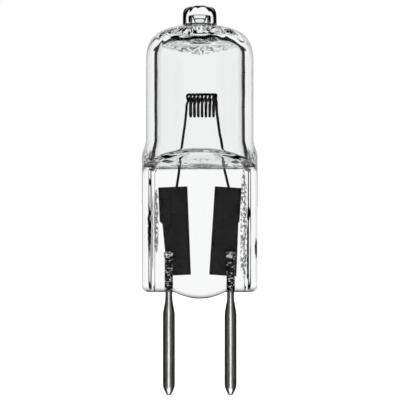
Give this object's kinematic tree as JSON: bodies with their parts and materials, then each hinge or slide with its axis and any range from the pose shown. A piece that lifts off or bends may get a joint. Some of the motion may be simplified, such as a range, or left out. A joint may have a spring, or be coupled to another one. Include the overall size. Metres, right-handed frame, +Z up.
{
  "type": "halogen capsule bulb",
  "caption": "Clear quartz capsule bulb with a domed tube, sealed exhaust tip, coiled filament, flat press seal with embedded foils, and straight contact pins.",
  "frame": {"origin": "midway between the contact pins, in the plane where their full diameter begins", "axes": "+Z up through the bulb to the exhaust tip, X through both pins, -Y towards the front of the flat seal"},
  "size_m": [0.012, 0.011, 0.0399],
  "materials": {
    "quartz": "clear fire-polished fused quartz",
    "tungsten_wire": "drawn dark tungsten",
    "molybdenum_foil": "thin matt dark molybdenum",
    "molybdenum_pin": "satin grey drawn molybdenum"
  },
  "bodies": {
    "root": {"quartz_envelope": "quartz", "filament": "tungsten_wire", "left_foil": "molybdenum_foil", "right_foil": "molybdenum_foil", "left_pin": "molybdenum_pin", "right_pin": "molybdenum_pin"}
  },
  "joints": []
}
